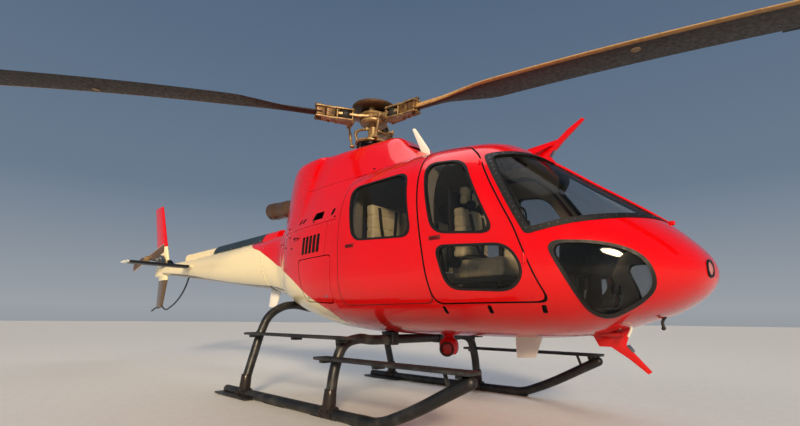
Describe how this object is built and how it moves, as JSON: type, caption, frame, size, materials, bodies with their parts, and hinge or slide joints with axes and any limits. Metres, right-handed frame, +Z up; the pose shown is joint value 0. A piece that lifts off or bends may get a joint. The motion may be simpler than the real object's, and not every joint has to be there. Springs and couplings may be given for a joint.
{
  "type": "light single-engine helicopter",
  "caption": "Light utility helicopter parked on high skids, with a hollow glazed cabin, hinged doors, cowled turbine bay, slender tail boom and freely turning main and tail rotors.",
  "frame": {"origin": "on the ground in the plane of symmetry, under the middle of the overall length with the blades as they stand", "axes": "+X towards the nose, +Y to port, +Z up"},
  "size_m": [12.9177, 9.4311, 3.4497],
  "materials": {
    "red_paint": "clear-coated gloss",
    "cream_paint": "clear-coated gloss",
    "slate_paint": "satin",
    "black_paint": "satin, worn at the feet",
    "rotor_blade": "matt paint on laminate",
    "rotor_head": "weathered primer",
    "machined_metal": "machined",
    "hot_metal": "heat-tinted",
    "tinted_glass": "polished, tinted",
    "seat_leather": "stitched",
    "panel_plastic": "matt"
  },
  "bodies": {
    "airframe": {"cabin_shell": "red_paint", "sliding_door_port": "red_paint", "sliding_door_starboard": "red_paint", "rear_body": "red_paint", "transmission_cowling": "red_paint", "engine_cowling": "red_paint", "shaft_cover_front": "red_paint", "upper_wire_cutter": "red_paint", "lower_wire_cutter": "red_paint", "belly_lamp": "red_paint", "tail_boom": "cream_paint", "shaft_cover_rear": "cream_paint", "tail_fin": "cream_paint", "roof_antenna": "cream_paint", "belly_antenna": "cream_paint", "rear_antenna": "cream_paint", "shaft_cover_middle": "slate_paint", "stabiliser": "black_paint", "tail_guard": "black_paint", "skid_port": "black_paint", "skid_starboard": "black_paint", "front_cross_tube": "black_paint", "rear_cross_tube": "black_paint", "cabin_step_port": "black_paint", "cabin_step_starboard": "black_paint", "entry_step_port": "black_paint", "entry_step_starboard": "black_paint", "engine": "machined_metal", "tail_gearbox": "machined_metal", "mast_housing": "machined_metal", "exhaust_pipe": "hot_metal", "sliding_door_glass_port": "tinted_glass", "windshield_port": "tinted_glass", "chin_window_port": "tinted_glass", "sliding_door_glass_starboard": "tinted_glass", "windshield_starboard": "tinted_glass", "chin_window_starboard": "tinted_glass", "pilot_seat": "seat_leather", "co_pilot_seat": "seat_leather", "rear_bench": "seat_leather", "instrument_panel": "panel_plastic"},
    "main_rotor": {"rotor_head": "rotor_head", "main_blade_1": "rotor_blade", "main_blade_2": "rotor_blade", "main_blade_3": "rotor_blade"},
    "tail_rotor": {"tail_rotor": "rotor_blade"},
    "front_door_port": {"front_door_port": "red_paint", "door_upper_glass_port": "tinted_glass", "door_lower_glass_port": "tinted_glass"},
    "locker_door_port": {"locker_door_port": "red_paint"},
    "front_door_starboard": {"front_door_starboard": "red_paint", "door_upper_glass_starboard": "tinted_glass", "door_lower_glass_starboard": "tinted_glass"},
    "locker_door_starboard": {"locker_door_starboard": "red_paint"}
  },
  "joints": [
    {"name": "main_rotor_spin", "type": "hinge", "parent": "airframe", "child": "main_rotor", "pos_m": [1.13, 0, 3.26], "axis": [0.0549, 0, 0.9985], "continuous": true},
    {"name": "tail_rotor_spin", "type": "hinge", "parent": "airframe", "child": "tail_rotor", "pos_m": [-5.535, -0.37, 2.09], "axis": [0, 1, 0], "continuous": true},
    {"name": "front_door_port_hinge", "type": "hinge", "parent": "airframe", "child": "front_door_port", "pos_m": [3.66, 0.85, 1.3], "axis": [0, 0, -1], "range_deg": [0, 75]},
    {"name": "front_door_starboard_hinge", "type": "hinge", "parent": "airframe", "child": "front_door_starboard", "pos_m": [3.66, -0.85, 1.3], "axis": [0, 0, 1], "range_deg": [0, 75]},
    {"name": "locker_door_port_hinge", "type": "hinge", "parent": "airframe", "child": "locker_door_port", "pos_m": [1.23, 0.905, 1.452], "axis": [1, 0, 0], "range_deg": [0, 95]},
    {"name": "locker_door_starboard_hinge", "type": "hinge", "parent": "airframe", "child": "locker_door_starboard", "pos_m": [1.23, -0.905, 1.452], "axis": [-1, 0, 0], "range_deg": [0, 95]}
  ]
}
